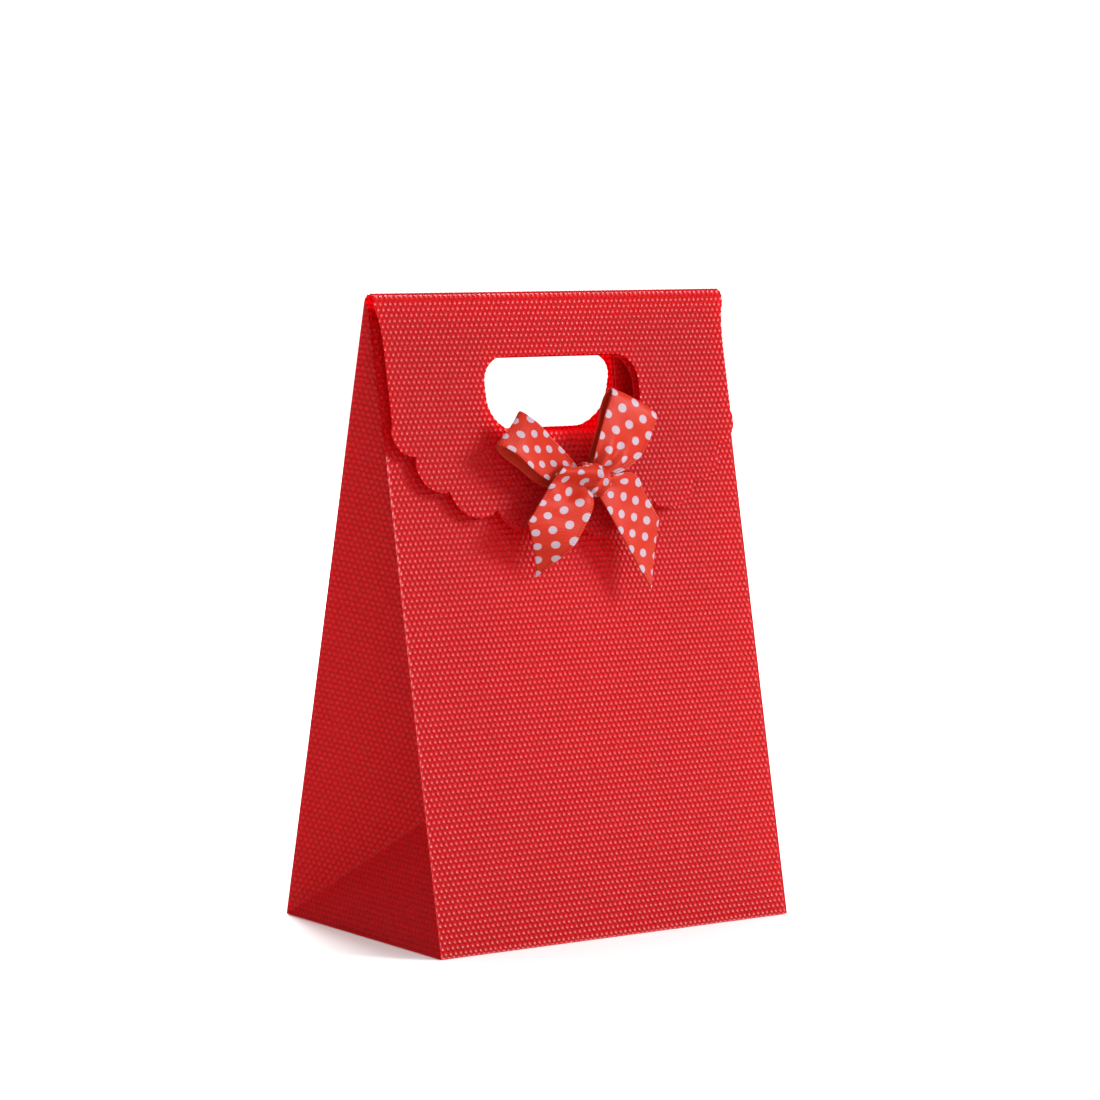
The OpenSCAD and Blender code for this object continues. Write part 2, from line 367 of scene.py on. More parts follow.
def sheet_skin(name, blank, place, row_start=0.0, creases=(), mitres=(), copy_inner=False):
    """A closed skin of embossed sheet.

    place maps blank coordinates and a height above the outer face into space. creases are the
    lines where the pits fade out. mitres are (point, inward direction, margin): the inner face
    stays that far inside those lines, so that folded neighbours don't run into each other.
    """
    flat, depths, faces = cut(blank, row_start)
    loops = boundary_loops(faces)
    move_corners(blank, flat, loops)
    for a, b in creases:
        a, b = np.array(a), np.array(b)
        along = unit(b - a)
        distance = np.abs((flat[:, 0] - a[0]) * along[1] - (flat[:, 1] - a[1]) * along[0])
        depths = depths * np.clip(distance / CREASE_FADE, 0, 1)
    inner_flat = flat.copy()
    for _ in range(12):
        for point, inward, margin in mitres:
            short = margin - (inner_flat - point) @ inward
            inner_flat += np.maximum(short, 0)[:, None] * inward
    outer = place(flat, -depths)
    inner = place(inner_flat, np.full(len(flat), -SHEET))
    count = len(flat)
    skin = faces.tolist()
    if copy_inner:
        skin += (faces[:, ::-1] + count).tolist()
        points, uvs = np.vstack([outer, inner]), np.vstack([flat, flat])
        rim = {i: i + count for loop in loops for i in loop}
    else:
        edge = [i for loop in loops for i in loop]
        points, uvs = np.vstack([outer, inner[edge]]), np.vstack([flat, flat[edge]])
        rim = {i: count + n for n, i in enumerate(edge)}
        polygons = [[Vector((*inner_flat[i], 0)) for i in loop] for loop in loops]
        skin += [
            tuple(count + i for i in triangle)
            for triangle in facing_down(geometry.tessellate_polygon(polygons), inner_flat[edge])
        ]
    for loop in loops:
        for a, b in zip(loop, loop[1:] + loop[:1]):
            skin.append((b, a, rim[a], rim[b]))
    obj = mesh_object(name, points, skin, uvs / MM)
    obj.data.set_sharp_from_angle(angle=SHARP_ANGLE)
    return obj


def facing_down(triangles, flat):
    """The triangles, each wound clockwise on the blank."""
    for a, b, c in triangles:
        area = np.cross(flat[b] - flat[a], flat[c] - flat[a])
        if area > 0:
            a, b = b, a
        if abs(area) > 1e-14:
            yield a, b, c


# ---------------------------------------------------------------- planes of the facets
def plane(origin, anchor, across, up):
    """place() for a flat facet: the blank point anchor lies at origin, across and up are its axes."""
    across, up = unit(across), unit(up)
    normal = np.cross(across, up)
    anchor = np.array(anchor)

    def place(flat, height):
        local = flat - anchor
        return origin + np.outer(local[:, 0], across) + np.outer(local[:, 1], up) + np.outer(height, normal)

    return place


def rectangle(x0, y0, x1, y1):
    return [(x0, y0), (x1, y0), (x1, y1), (x0, y1)]


def panel(name, side, top, facet):
    """The front panel (side -1) or the back panel (side 1), with the hand hole."""
    outline = rectangle(-HALF_W, 0, HALF_W, top)
    blank = Blank([outline, hole_loop()], outline)
    up = FRONT_UP if side < 0 else BACK_UP
    place = plane(np.array([0, side * HALF_D, 0]), (0, 0), -side * RIGHT, up)
    mitres = [
        (np.array([-HALF_W, 0]), np.array([1.0, 0]), EDGE_MITRE),
        (np.array([HALF_W, 0]), np.array([-1.0, 0]), EDGE_MITRE),
        (np.array([0, 0]), np.array([0, 1.0]), FOOT_MITRE),
    ]
    creases = [(outline[0], outline[1]), (outline[0], outline[3]), (outline[1], outline[2])]
    skin = sheet_skin(name, blank, place, creases=creases, mitres=mitres)
    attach(skin, facet)
    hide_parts(facet)
    return skin


def flap_skin():
    """The round fold and the scalloped flap, as one sheet measured from the crease behind it."""
    turn = FRONT_FOLD_S + FOLD_ARC
    right = [(x * MM, RIDGE_S - drop * MM) for x, drop in SHOULDERS]
    notches = [(x * MM, RIDGE_S - drop * MM) for x, drop in NOTCHES]
    edge = [np.array(p) for p in right]
    for a, b in zip(notches, notches[1:]):
        edge += scallop_arc(a, b)
    half = [(HALF_W, turn), (HALF_W, FRONT_FOLD_S - FLAP_SHOULDER_DROP), *edge]
    outline = half + [(0, notches[-1][1])] + [(-x, s) for x, s in half[::-1]]
    outline = np.array(outline)[::-1]
    corners = [outline[0], outline[-1]] + notches + [(-x, s) for x, s in notches]
    loops = [outline, hole_loop()]

    def place(flat, height):
        ahead = turn - flat[:, 1]
        angle = LEAN + np.clip(ahead, 0, FOLD_ARC) / FOLD_R
        down = np.maximum(ahead - FOLD_ARC, 0)
        reach = FOLD_R + height
        return np.stack(
            [
                flat[:, 0],
                FOLD_Y + reach * np.cos(angle) - down * SIN,
                FOLD_Z + reach * np.sin(angle) - down * COS,
            ],
            axis=1,
        )

    crease = (outline[0], outline[-1])
    skin = sheet_skin(
        "flap_sheet", Blank(loops, corners), place, turn, creases=[crease], copy_inner=True
    )
    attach(skin, "flap")
    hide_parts("flap", "ridge_fold")
    return skin


def gusset_half(side_name, side, face, facing):
    """The outer and the inner facet of one half of a gusset. facing is -1 for the front half."""
    corner = np.array([side * HALF_W, facing * HALF_D, 0])
    apex = APEX * np.array([side, 1, 1])
    up = FRONT_UP if facing < 0 else BACK_UP
    top = GUSSET_S if facing < 0 else BACK_EDGE_S
    hand = side * -facing
    edge_u = hand * HALF_W
    across = hand * (apex - corner - HALF_D * up) / HALF_D

    def at(u, s):
        """The blank point u in from the panel's edge and s up it."""
        return np.array([edge_u + hand * u, s])

    def fold_u(s):
        """Where the slanting fold is, s up the panel's edge."""
        return HALF_D * ((SLANT - s) / (SLANT - HALF_D))

    # The outer facet stops where it meets its inner facet, LAYER_GAP from the middle plane
    line = unit(at(HALF_D, HALF_D) - at(0, SLANT))
    inward = np.array([line[1], -line[0]])
    if inward @ (at(0, HALF_D) - at(HALF_D, HALF_D)) < 0:
        inward = -inward
    inward_3d = inward[0] * unit(across) + inward[1] * up
    stop = LAYER_GAP / abs(inward_3d[1])
    over = math.sqrt(max(stop * stop - LAYER_GAP * LAYER_GAP, 0))
    outline = [at(0, 0), at(HALF_D, HALF_D), at(fold_u(top), top), at(0, top)]
    mitres = [
        (at(0, 0), np.array([hand, 0.0]), EDGE_MITRE),
        (at(HALF_D, HALF_D), inward, stop + INNER_FOLD_MITRE),
        (at(0, 0), unit(np.array([-hand, 1.0])), SLANTING_FOLD_MITRE),
    ]
    creases = [
        (at(0, 0), at(0, SLANT)),
        (at(0, 0), at(HALF_D, HALF_D)),
        (at(0, SLANT), at(HALF_D, HALF_D)),
    ]
    outer = sheet_skin(
        f"gusset_{side_name}_{face}_outer_sheet",
        clipped(outline, at(HALF_D, HALF_D), inward, stop),
        plane(corner, (edge_u, 0), across, up),
        creases=creases,
        mitres=mitres,
    )

    # The inner facet runs up the centre crease, which leans in a little from the vertical
    fold = np.array(JOINTS[f"gusset_{side_name}_front_inner_fold"]["axis"], float)
    fold = unit(fold * np.sign(fold[2]))
    lean_in = math.atan2(HALF_D, SLANT - HALF_D) - math.atan2(abs(fold[0]), fold[2])
    inner_up = np.array([-side * math.sin(lean_in), 0, math.cos(lean_in)])
    inner_across = -hand * side * RIGHT
    inner_across = inner_across - (inner_across @ inner_up) * inner_up
    outline = [at(HALF_D, HALF_D), at(HALF_D, GUSSET_S), at(fold_u(GUSSET_S), GUSSET_S)]
    inner = sheet_skin(
        f"gusset_{side_name}_{face}_inner_sheet",
        clipped(outline, at(HALF_D, HALF_D), -inward, -over),
        plane(apex + np.array([0, facing * LAYER_GAP, 0]), at(HALF_D, HALF_D), inner_across, inner_up),
        creases=[(at(0, SLANT), at(HALF_D, HALF_D)), (at(HALF_D, HALF_D), at(HALF_D, GUSSET_S))],
        mitres=[(at(HALF_D, HALF_D), -inward, INNER_FOLD_MITRE - over)],
    )
    return outer, inner


def gusset_bottom(side_name, side):
    """The triangle at the foot of a gusset, between its two slanting folds."""
    foot = np.array([side * HALF_W, 0, 0])
    apex = APEX * np.array([side, 1, 1])

    def base(u, s):
        """The blank point u along the gusset's bottom edge and s up from it."""
        return np.array([side * (HALF_W + u), s])

    outline = [base(0, 0), base(2 * HALF_D, 0), base(HALF_D, HALF_D)]
    mitres = [
        (base(0, 0), np.array([0, 1.0]), GUSSET_FOOT_MITRE),
        (base(0, 0), unit(np.array([side, -1.0])), SLANTING_FOLD_MITRE),
        (base(2 * HALF_D, 0), unit(np.array([-side, -1.0])), SLANTING_FOLD_MITRE),
    ]
    return sheet_skin(
        f"gusset_{side_name}_bottom_sheet",
        anticlockwise(outline),
        plane(foot, base(HALF_D, 0), np.array([0, float(side), 0]), apex - foot),
        creases=[(outline[0], outline[1]), (outline[1], outline[2]), (outline[2], outline[0])],
        mitres=mitres,
    )


def gusset(side_name, side):
    """The five facets of one folded gusset. side is -1 on the left and 1 on the right."""
    skins = []
    for face, facing in (("front", -1), ("back", 1)):
        skins += gusset_half(side_name, side, face, facing)
    skins.append(gusset_bottom(side_name, side))
    for skin in skins:
        facet = skin.name.removesuffix("_sheet")
        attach(skin, facet)
        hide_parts(facet)
    return skins


# ---------------------------------------------------------------- materials
class Nodes:
    """Short calls for building a node tree."""

    def __init__(self, name):
        self.material = bpy.data.materials.new(name)
        self.material.use_nodes = True
        self.tree = self.material.node_tree
        self.tree.nodes.clear()
        self.output = self.tree.nodes.new("ShaderNodeOutputMaterial")

    def link(self, source, target):
        self.tree.links.new(source, target)

    def new(self, kind, **values):
        node = self.tree.nodes.new("ShaderNode" + kind)
        for key, value in values.items():
            if isinstance(value, bpy.types.NodeSocket):
                self.link(value, node.inputs[key.replace("_", " ")])
            elif hasattr(node, key):
                setattr(node, key, value)
            else:
                node.inputs[key.replace("_", " ")].default_value = value
        return node

    def math(self, operation, a, b=0.0, c=None):
        node = self.tree.nodes.new("ShaderNodeMath")
        node.operation = operation
        for n, value in enumerate((a, b) if c is None else (a, b, c)):
            if isinstance(value, bpy.types.NodeSocket):
                self.link(value, node.inputs[n])
            else:
                node.inputs[n].default_value = value
        return node.outputs[0]

    def mix(self, factor, a, b):
        node = self.tree.nodes.new("ShaderNodeMix")
        node.data_type = "RGBA"
        for key, value in (("Factor", factor), ("A", a), ("B", b)):
            sockets = [s for s in node.inputs if s.name == key and s.enabled]
            socket = sockets[-1] if key != "Factor" else sockets[0]
            if isinstance(value, bpy.types.NodeSocket):
                self.link(value, socket)
            else:
                socket.default_value = value
        return [s for s in node.outputs if s.enabled][0]


def pit_distance(nodes, x, y):
    """Distance in millimetres to the nearest pit's centre, from blank coordinates in millimetres."""
    pitch, row = PITCH / MM, ROW / MM
    found = []
    for shift_x, shift_y in ((0, 0), (pitch / 2, row)):
        dx = nodes.math("PINGPONG", nodes.math("ADD", x, shift_x), pitch / 2)
        dy = nodes.math("PINGPONG", nodes.math("ADD", y, shift_y), row)
        square = nodes.math("ADD", nodes.math("MULTIPLY", dx, dx), nodes.math("MULTIPLY", dy, dy))
        found.append(nodes.math("SQRT", square))
    return nodes.math("MINIMUM", *found)


def sheet_material(name, coordinates="UV", row_start=0.0):
    """Red polypropylene: thick lands, thinner and brighter pits, a satin face."""
    nodes = Nodes(name)
    place = nodes.new("TexCoord").outputs[coordinates]
    parts = nodes.new("SeparateXYZ", Vector=place)
    x, y = parts.outputs[0], parts.outputs[1]
    if coordinates == "Object":
        x = nodes.math("MULTIPLY", x, 1 / MM)
        y = nodes.math("MULTIPLY", y, 1 / MM)
    y = nodes.math("SUBTRACT", y, row_start / MM)
    distance = pit_distance(nodes, x, y)
    land = nodes.new("MapRange", interpolation_type="SMOOTHSTEP", Value=distance)
    land.inputs["From Min"].default_value = 0.42
    land.inputs["From Max"].default_value = 0.72
    dot = nodes.new("MapRange", interpolation_type="SMOOTHSTEP", Value=distance)
    dot.inputs["From Min"].default_value = 0.22
    dot.inputs["From Max"].default_value = 0.08
    cloud = nodes.new("TexNoise", Vector=nodes.new("TexCoord").outputs["Object"], Scale=35.0, Detail=3.0)
    pit_colour = (0.74, 0.005, 0.012, 1)
    land_colour = (0.70, 0.003, 0.009, 1)
    colour = nodes.mix(land.outputs[0], pit_colour, land_colour)
    colour = nodes.mix(nodes.math("MULTIPLY", dot.outputs[0], 0.6), colour, (0.55, 0.002, 0.010, 1))
    colour = nodes.mix(nodes.math("MULTIPLY", cloud.outputs[0], 0.12), colour, (0.70, 0.003, 0.012, 1))
    grain = nodes.new("TexNoise", Vector=nodes.new("TexCoord").outputs["Object"], Scale=2500.0, Detail=2.0)
    height = nodes.math("MULTIPLY", grain.outputs[0], 0.012)
    bump = nodes.new("Bump", Strength=0.25, Distance=0.001, Height=height)
    roughness = nodes.math("ADD", nodes.math("MULTIPLY", grain.outputs[0], 0.12), 0.26)
    face = nodes.new("BsdfPrincipled")
    face.inputs["IOR"].default_value = 1.49
    face.inputs["Specular IOR Level"].default_value = 0.95
    nodes.link(colour, face.inputs["Base Color"])
    nodes.link(roughness, face.inputs["Roughness"])
    nodes.link(bump.outputs[0], face.inputs["Normal"])
    glow = nodes.new("BsdfTranslucent")
    through = nodes.mix(land.outputs[0], (1.0, 0.006, 0.070, 1), (0.62, 0.001, 0.024, 1))
    nodes.link(through, glow.inputs["Color"])
    blend = nodes.new("MixShader")
    blend.inputs[0].default_value = 0.60
    nodes.link(face.outputs[0], blend.inputs[1])
    nodes.link(glow.outputs[0], blend.inputs[2])
    nodes.link(blend.outputs[0], nodes.output.inputs[0])
    return nodes.material


def speckled_material(name, colour, roughness):
    """A material for a small hidden part, with fine specks and bumps."""
    nodes = Nodes(name)
    speck = nodes.new("TexVoronoi", Vector=nodes.new("TexCoord").outputs["Object"], Scale=1400.0)
    deep = tuple(0.55 * c for c in colour[:3]) + (1,)
    face = nodes.new("BsdfPrincipled")
    nodes.link(nodes.mix(speck.outputs["Distance"], deep, colour), face.inputs["Base Color"])
    face.inputs["Roughness"].default_value = roughness
    bump = nodes.new("Bump", Strength=0.5, Distance=0.0004, Height=speck.outputs["Distance"])
    nodes.link(bump.outputs[0], face.inputs["Normal"])
    nodes.link(face.outputs[0], nodes.output.inputs[0])
    return nodes.material


def give(obj, material):
    """Makes the material the object's only one."""
    obj.data.materials.clear()
    obj.data.materials.append(material)


# ---------------------------------------------------------------- build
blank_sheet = sheet_material("sheet_red")
flap_sheet = sheet_material("sheet_red_flap", row_start=FRONT_FOLD_S + FOLD_ARC)
base_sheet = sheet_material("sheet_red_base", coordinates="Object")

give(panel("front_sheet", -1, MOUTH_S, "front_panel"), blank_sheet)
give(panel("back_sheet", 1, BACK_FOLD_S, "back_panel"), blank_sheet)
give(flap_skin(), flap_sheet)
for side_name, side in (("left", -1), ("right", 1)):
    for skin in gusset(side_name, side):
        give(skin, blank_sheet)
give(frame["nodes"]["hook_disc"], speckled_material("hook_plastic", (0.30, 0.004, 0.006, 1), 0.45))
give(frame["nodes"]["loop_disc"], speckled_material("loop_fabric", (0.38, 0.006, 0.010, 1), 0.85))
give(frame["nodes"]["bow_glue_dot"], speckled_material("glue_clear", (0.72, 0.62, 0.46, 1), 0.25))
for node in ("bottom_front_flap", "bottom_back_flap", "bottom_left_flap", "bottom_right_flap", "glue_tab"):
    give(frame["nodes"][node], base_sheet)

# ---------------------------------------------------------------- bow
RIBBON_W = 15 * MM
RIBBON_T = 0.3 * MM
# Printed dots, in millimetres of ribbon: their spacing along both diagonals, and their radius
DOT_PITCH = 4.85
DOT_R = 1.22


def on_flap(x, s, n):
    """A point on or above the flap's face: x across, s up the slant and n outward, in millimetres."""
    out = STAND_OFF + n * MM
    return np.array([x * MM, -HALF_D + s * MM * SIN - out * COS, s * MM * COS + out * SIN])


def spline(knots, values, at):
    """Cubic Hermite curve through the values, with finite differences as slopes."""
    slopes = np.gradient(values, knots, axis=0)
    n = np.clip(np.searchsorted(knots, at, side="right") - 1, 0, len(knots) - 2)
    step = (knots[n + 1] - knots[n])[:, None]
    t = ((at - knots[n]) / step[:, 0])[:, None]
    return (
        (2 * t**3 - 3 * t**2 + 1) * values[n]
        + (t**3 - 2 * t**2 + t) * step * slopes[n]
        + (3 * t**2 - 2 * t**3) * values[n + 1]
        + (t**3 - t**2) * step * slopes[n + 1]
    )


def closed_band(name, grid, uv, thickness, wrap=False):
    """A thin closed solid around a grid of points. Its printed face is the one towards the viewer
    of the flap a quarter of the way along; the other face takes the second material.
    """
    rows, columns = grid.shape[:2]
    along = np.gradient(grid, axis=0)
    across = np.gradient(grid, axis=1)
    if wrap:
        along = (np.roll(grid, -1, 0) - np.roll(grid, 1, 0)) / 2
    normal = np.cross(across, along)
    normal /= np.maximum(np.linalg.norm(normal, axis=2, keepdims=True), 1e-12)
    plain_below = normal[rows // 4, columns // 2] @ FLAP_OUT > 0
    above = (grid + normal * thickness / 2).reshape(-1, 3)
    below = (grid - normal * thickness / 2).reshape(-1, 3)
    points = np.vstack([above, below])
    uvs = np.vstack([uv.reshape(-1, 2), uv.reshape(-1, 2)])
    half = rows * columns
    faces, plain = [], []

    def index(i, j):
        return (i % rows) * columns + j

    for i in range(rows if wrap else rows - 1):
        for j in range(columns - 1):
            quad = (index(i, j), index(i, j + 1), index(i + 1, j + 1), index(i + 1, j))
            faces.append(quad)
            faces.append(tuple(half + q for q in quad[::-1]))
            plain += [not plain_below, plain_below]
        for j, turn in ((0, 1), (columns - 1, -1)):
            rim = [index(i, j), index(i + 1, j), half + index(i + 1, j), half + index(i, j)]
            faces.append(tuple(rim[::turn]))
            plain.append(True)
    if not wrap:
        for i, turn in ((0, -1), (rows - 1, 1)):
            for j in range(columns - 1):
                rim = [index(i, j), index(i, j + 1), half + index(i, j + 1), half + index(i, j)]
                faces.append(tuple(rim[::turn]))
                plain.append(True)
    obj = mesh_object(name, points, faces, uvs)
    give(obj, ribbon)
    obj.data.materials.append(ribbon_back)
    obj.data.polygons.foreach_set("material_index", np.array(plain, np.int32))
    return obj


def ribbon_piece(name, node, stations, stop=None, cup=0.0, pleats=(), rows=96, columns=28):
    """A band of ribbon through pairs of edge points, each (x, s, n) on the flap in millimetres.

    stop gives the stations where the band ends at its first and at its second edge. cup
    bulges its middle outward. pleats are (place, reach, amplitude, waves, phase) along the band.
    """
    first = np.array([on_flap(*pair[0]) for pair in stations])
    second = np.array([on_flap(*pair[1]) for pair in stations])
    middle = (first + second) / 2
    knots = np.concatenate([[0], np.cumsum(np.linalg.norm(np.diff(middle, axis=0), axis=1))])
    length = knots[-1]
    ends = [knots[i] for i in stop] if stop else [length, length]
    share = np.linspace(0, 1, rows)
    w = np.linspace(0, 1, columns)
    grid = np.zeros((rows, columns, 3))
    uv = np.zeros((rows, columns, 2))
    for j, v in enumerate(w):
        at = share * (ends[0] + (ends[1] - ends[0]) * v)
        a, b = spline(knots, first, at), spline(knots, second, at)
        along = np.gradient((a + b) / 2, axis=0)
        normal = np.cross(b - a, along)
        normal /= np.linalg.norm(normal, axis=1, keepdims=True)
        lift = np.full(rows, cup * MM * (1 - (2 * v - 1) ** 2))
        for place, reach, amplitude, waves, phase in pleats:
            fade = np.exp(-(((at / length - place) / reach) ** 2))
            lift += amplitude * MM * fade * math.sin(2 * math.pi * (waves * v + phase))
        # A slight unevenness of the cloth
        lift += 0.10 * MM * np.sin(at / MM * 0.9 + 3.1 * v) * math.sin(math.pi * v)
        grid[:, j] = a + (b - a) * v + normal * lift[:, None]
        uv[:, j, 0] = at / MM
        uv[:, j, 1] = v * RIBBON_W / MM
    obj = closed_band(name, grid, uv, RIBBON_T)
    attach(obj, "flap")
    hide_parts(node)
    return obj, length, (ends[0] + ends[1]) / 2


def knot_wrap(name, node):
    """The short length of ribbon drawn tight around the middle of the bow."""
    # Its middle on the flap, its half width, half height and half depth, and the least height at
    # which it passes over the flap, in millimetres
    centre = (1.5, 131.4, 5.9)
    half_x, half_s, half_n = 5.0, 4.5, 4.9
    lowest = 1.2
    tilt = math.radians(-20)
    rows, columns = 72, 30
    grid = np.zeros((rows, columns, 3))
    uv = np.zeros((rows, columns, 2))
    around = (half_s + half_n) * math.pi
    for i in range(rows):
        turn = 2 * math.pi * i / rows
        for j in range(columns):
            v = 2 * j / (columns - 1) - 1
            r = 1 - 0.34 * v**4 - 0.05 * v * v
            crease = 0.45 * math.cos(v * 7.5 + 0.9 * math.sin(turn)) * (1 - v * v)
            across = v * half_x
            s_at = (half_s * r + crease) * math.cos(turn)
            n_at = max((half_n * r + crease) * math.sin(turn), lowest - centre[2])
            x = centre[0] + across * math.cos(tilt) - s_at * math.sin(tilt)
            s = centre[1] + across * math.sin(tilt) + s_at * math.cos(tilt)
            grid[i, j] = on_flap(x, s, centre[2] + n_at)
            uv[i, j] = (around * i / rows, (v + 1) / 2 * RIBBON_W / MM)
    obj = closed_band(name, grid, uv, RIBBON_T, wrap=True)
    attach(obj, "flap")
    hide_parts(node)
    return obj, around * MM, around * MM


def ribbon_material(name, printed):
    """Red satin ribbon with a fine diagonal weave and woven edges, printed with pale dots or plain. The
    weave's raised threads are painted lighter and its sunk threads darker, as painted light and shade.
    """
    nodes = Nodes(name)
    parts = nodes.new("SeparateXYZ", Vector=nodes.new("TexCoord").outputs["UV"])
    along, across = parts.outputs[0], parts.outputs[1]
    root = math.sqrt(0.5)
    p = nodes.math("MULTIPLY", nodes.math("ADD", along, across), root)
    q = nodes.math("MULTIPLY", nodes.math("SUBTRACT", along, across), root)
    dp = nodes.math("PINGPONG", nodes.math("ADD", p, 1.1), DOT_PITCH / 2)
    dq = nodes.math("PINGPONG", nodes.math("ADD", q, 40.7), DOT_PITCH / 2)
    distance = nodes.math(
        "SQRT", nodes.math("ADD", nodes.math("MULTIPLY", dp, dp), nodes.math("MULTIPLY", dq, dq))
    )
    dot = nodes.new("MapRange", interpolation_type="SMOOTHSTEP", Value=distance)
    dot.inputs["From Min"].default_value = DOT_R + 0.06
    dot.inputs["From Max"].default_value = DOT_R - 0.06
    diagonal = nodes.math("ADD", along, nodes.math("MULTIPLY", across, 0.55))
    twill = nodes.math("SINE", nodes.math("MULTIPLY", diagonal, 13.5))
    rib = nodes.math("SINE", nodes.math("MULTIPLY", across, 18.0))
    from_edge = nodes.math("PINGPONG", across, RIBBON_W / MM / 2)
    selvedge = nodes.math("LESS_THAN", from_edge, 0.75)
    stitch = nodes.new("MapRange", interpolation_type="SMOOTHSTEP")
    nodes.link(nodes.math("ABSOLUTE", nodes.math("SUBTRACT", from_edge, 0.85)), stitch.inputs["Value"])
    stitch.inputs["From Min"].default_value = 0.22
    stitch.inputs["From Max"].default_value = 0.02
    edge_wave = nodes.math("SINE", nodes.math("MULTIPLY", along, 9.0))
    inside = nodes.math("MULTIPLY", twill, nodes.math("SUBTRACT", 1.0, selvedge))
    edge = nodes.math("MULTIPLY", nodes.math("MULTIPLY", edge_wave, selvedge), 1.4)
    weave = nodes.math("ADD", inside, edge)
    fine = nodes.new("TexNoise", Vector=nodes.new("TexCoord").outputs["Object"], Scale=900.0, Detail=3.0)
    # Painted light and shade on the weave: the colour follows the weave's height, lighter on raised threads
    # and darker on sunk ones
    weave_light_and_shade = nodes.math("MULTIPLY_ADD", weave, 0.38, 0.5)
    base = nodes.mix(weave_light_and_shade, (0.40, 0.009, 0.004, 1), (0.74, 0.046, 0.013, 1))
    base = nodes.mix(nodes.math("MULTIPLY", stitch.outputs[0], 0.8), base, (0.42, 0.006, 0.006, 1))
    base = nodes.mix(nodes.math("MULTIPLY", fine.outputs[0], 0.18), base, (0.50, 0.012, 0.008, 1))
    # The printed dots get the same painted light and shade from the weave
    print_weave_light_and_shade = nodes.math("MULTIPLY_ADD", weave, 0.30, 0.5)
    pale = nodes.mix(print_weave_light_and_shade, (0.42, 0.31, 0.38, 1), (0.60, 0.47, 0.55, 1))
    colour = nodes.mix(dot.outputs[0], base, pale) if printed else base
    height = nodes.math("ADD", nodes.math("MULTIPLY", weave, 0.020), nodes.math("MULTIPLY", rib, 0.004))
    height = nodes.math("ADD", height, nodes.math("MULTIPLY", stitch.outputs[0], -0.06))
    bump = nodes.new("Bump", Strength=0.6, Distance=0.001, Height=height)
    face = nodes.new("BsdfPrincipled")
    nodes.link(colour, face.inputs["Base Color"])
    nodes.link(bump.outputs[0], face.inputs["Normal"])
    face.inputs["Roughness"].default_value = 0.42
    face.inputs["Anisotropic"].default_value = 0.5
    face.inputs["Specular IOR Level"].default_value = 0.22
    glow = nodes.new("BsdfTranslucent")
    nodes.link(colour, glow.inputs["Color"])
    blend = nodes.new("MixShader")
    blend.inputs[0].default_value = 0.22
    nodes.link(face.outputs[0], blend.inputs[1])
    nodes.link(glow.outputs[0], blend.inputs[2])
    nodes.link(blend.outputs[0], nodes.output.inputs[0])
    return nodes.material


ribbon = ribbon_material("ribbon_dots", True)
ribbon_back = ribbon_material("ribbon_plain", False)
left_loop = ribbon_piece("ribbon_loop_left", "bow_loop_left", [
    ((-2.0, 133.2, 7.0), (-3.6, 129.8, 6.2)),
    ((-6.3, 136.8, 9.0), (-11.5, 130.4, 7.5)),
    ((-13.5, 143.4, 9.8), (-19.6, 134.0, 8.7)),
    ((-19.2, 149.1, 9.6), (-27.2, 140.0, 9.2)),
    ((-22.2, 151.7, 7.6), (-31.0, 142.6, 7.0)),
    ((-21.4, 150.6, 5.2), (-29.6, 141.8, 4.6)),
    ((-14.5, 143.5, 4.4), (-21.4, 135.4, 3.6)),
    ((-7.0, 137.0, 4.0), (-13.6, 130.4, 3.4)),
    ((-2.2, 133.0, 4.0), (-4.2, 129.6, 4.0)),
], cup=0.5, pleats=[(0.0, 0.12, 0.9, 2, 0.1), (1.0, 0.12, 0.8, 2, 0.4)])
right_loop = ribbon_piece("ribbon_loop_right", "bow_loop_right", [
    ((1.6, 134.6, 7.5), (4.4, 131.6, 6.5)),
    ((2.0, 138.0, 9.0), (11.5, 133.0, 7.0)),
    ((4.6, 145.0, 9.4), (20.2, 138.0, 7.2)),
    ((8.0, 152.0, 9.3), (23.8, 144.6, 8.8)),
    ((10.6, 156.6, 8.8), (26.0, 148.8, 8.4)),
    ((11.2, 157.7, 7.6), (26.6, 149.9, 7.1)),
    ((10.6, 156.8, 6.5), (25.6, 148.8, 5.9)),
    ((5.4, 146.4, 6.6), (19.0, 139.4, 4.6)),
    ((3.0, 139.2, 5.6), (11.5, 132.6, 3.6)),
    ((2.0, 134.2, 4.6), (4.6, 131.0, 4.2)),
], cup=0.5, pleats=[(0.05, 0.16, 1.1, 2.5, 0.55), (1.0, 0.14, 0.9, 2, 0.2)])
left_tail = ribbon_piece("ribbon_tail_left", "bow_tail_left", [
    ((-3.0, 129.6, 7.6), (2.0, 128.8, 7.6)),
    ((-8.2, 133.4, 8.6), (0.0, 133.0, 9.8)),
    ((-10.8, 135.1, 10.4), (-0.6, 135.0, 12.2)),
    ((-13.0, 133.8, 11.8), (0.6, 132.2, 13.4)),
    ((-14.8, 130.8, 9.0), (0.2, 128.6, 8.0)),
    ((-17.8, 127.6, 9.4), (-1.6, 123.6, 10.0)),
    ((-21.0, 123.8, 9.2), (-5.2, 117.6, 9.8)),
    ((-24.2, 119.8, 8.2), (-9.8, 111.6, 8.4)),
    ((-27.2, 115.6, 4.4), (-13.2, 108.0, 3.2)),
    ((-28.8, 112.6, 0.6), (-16.0, 104.8, -2.2)),
], stop=(7, 9), cup=0.5, pleats=[(0.0, 0.10, 0.7, 2, 0.2), (0.42, 0.06, -0.9, 1.5, 0.0)])
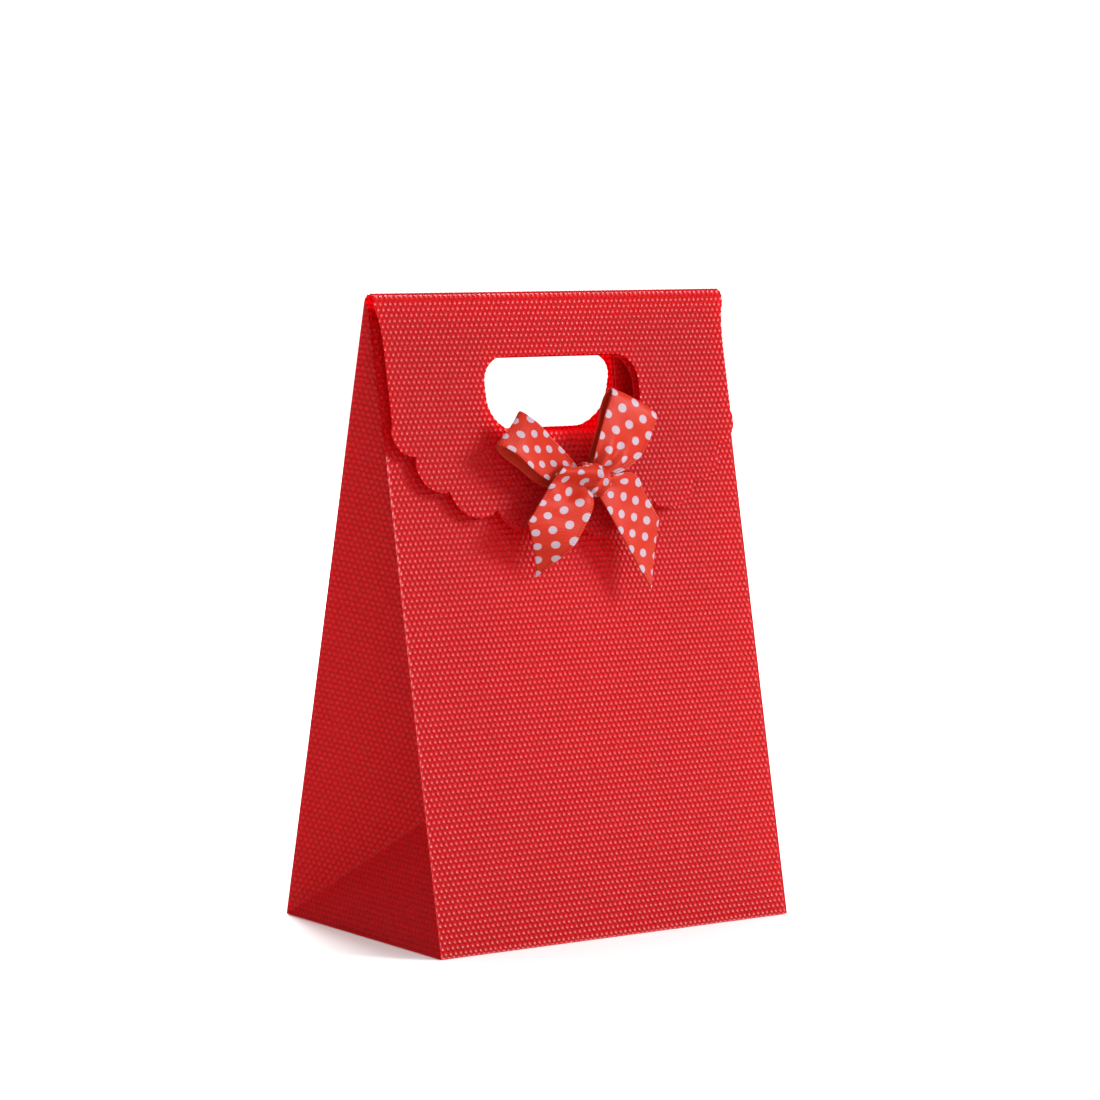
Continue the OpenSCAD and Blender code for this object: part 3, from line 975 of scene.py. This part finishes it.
right_tail = ribbon_piece("ribbon_tail_right", "bow_tail_right", [
    ((1.2, 129.2, 4.6), (4.4, 131.2, 5.4)),
    ((3.0, 127.4, 6.0), (10.0, 132.6, 7.4)),
    ((4.4, 124.6, 6.6), (16.0, 132.6, 7.0)),
    ((8.1, 118.0, 6.4), (20.6, 126.2, 6.0)),
    ((12.3, 111.4, 5.6), (24.9, 119.0, 5.6)),
    ((16.2, 104.9, 4.9), (28.8, 112.5, 5.0)),
    ((20.0, 98.6, 4.6), (32.4, 106.4, 4.6)),
], stop=(6, 4), cup=0.4, pleats=[(0.0, 0.14, 0.8, 2, 0.3)])
knot = knot_wrap("ribbon_knot", "bow_knot")


# ---------------------------------------------------------------- stage, light and camera
def add_floor():
    """A white floor just under the bag. Beyond its edge the world is white too."""
    size = 1.5
    corners = [(-size, -size, 0), (size, -size, 0), (size, size, 0), (-size, size, 0)]
    floor = mesh_object("floor", corners, [(0, 1, 2, 3)])
    floor.location.z = -0.2 * MM
    floor.visible_glossy = False
    nodes = Nodes("floor_white")
    face = nodes.new("BsdfPrincipled")
    face.inputs["Base Color"].default_value = (0.93, 0.93, 0.93, 1)
    face.inputs["Roughness"].default_value = 0.7
    nodes.link(face.outputs[0], nodes.output.inputs[0])
    give(floor, nodes.material)


def add_world(bright, dim):
    """White surroundings, dimmer towards the bag's left-hand side."""
    world = bpy.data.worlds.new("studio")
    world.use_nodes = True
    tree = world.node_tree
    background = tree.nodes["Background"]
    background.inputs[0].default_value = (1, 1, 1, 1)
    side = tree.nodes.new("ShaderNodeVectorMath")
    side.operation = "DOT_PRODUCT"
    tree.links.new(tree.nodes.new("ShaderNodeTexCoord").outputs["Generated"], side.inputs[0])
    side.inputs[1].default_value = (-0.97, -0.05, -0.2)
    level = tree.nodes.new("ShaderNodeMapRange")
    level.interpolation_type = "SMOOTHSTEP"
    for key, value in (("From Min", -0.25), ("From Max", 0.95), ("To Min", bright), ("To Max", dim)):
        level.inputs[key].default_value = value
    tree.links.new(side.outputs["Value"], level.inputs["Value"])
    tree.links.new(level.outputs[0], background.inputs[1])
    world.cycles_visibility.glossy = False
    bpy.context.scene.world = world


def add_area_light(name, azimuth, elevation, distance, size, power):
    """A square soft light. Azimuth is measured from the front, positive towards the right."""
    a, e = math.radians(azimuth), math.radians(elevation)
    away = Vector((math.sin(a) * math.cos(e), -math.cos(a) * math.cos(e), math.sin(e)))
    light = bpy.data.lights.new(name, "AREA")
    light.size = size
    light.energy = power
    obj = bpy.data.objects.new(name, light)
    obj.location = Vector((0, 0, 0.1)) + away * distance
    obj.rotation_mode = "QUATERNION"
    obj.rotation_quaternion = away.to_track_quat("Z", "Y")
    bpy.context.scene.collection.objects.link(obj)


def add_camera():
    """The photo's viewpoint, as fitted to the bag's corners."""
    yaw, pitch, roll = math.radians(36.32), math.radians(-5.8), math.radians(0.70)
    forward = Vector((math.sin(yaw) * math.cos(pitch), math.cos(yaw) * math.cos(pitch), math.sin(pitch)))
    level = Vector((math.cos(yaw), -math.sin(yaw), 0))
    upright = level.cross(forward)
    right = level * math.cos(roll) + upright * math.sin(roll)
    up = upright * math.cos(roll) - level * math.sin(roll)
    camera = bpy.data.objects.new("camera", bpy.data.cameras.new("camera"))
    camera.data.sensor_width = 36
    camera.data.lens = 130.9
    camera.data.clip_start = 0.05
    turn = Matrix((right, up, -forward)).transposed()
    place = Matrix.Translation((-0.6891, -0.9413, 0.2266))
    camera.matrix_world = place @ turn.to_4x4()
    bpy.context.scene.collection.objects.link(camera)
    bpy.context.scene.camera = camera


add_floor()
add_world(1.25, 0.60)
add_area_light("key", 48, 27, 2.2, 0.66, 40)
add_area_light("back", 160, 30, 1.6, 0.8, 38)
add_camera()
bpy.context.scene.view_settings.view_transform = "Standard"
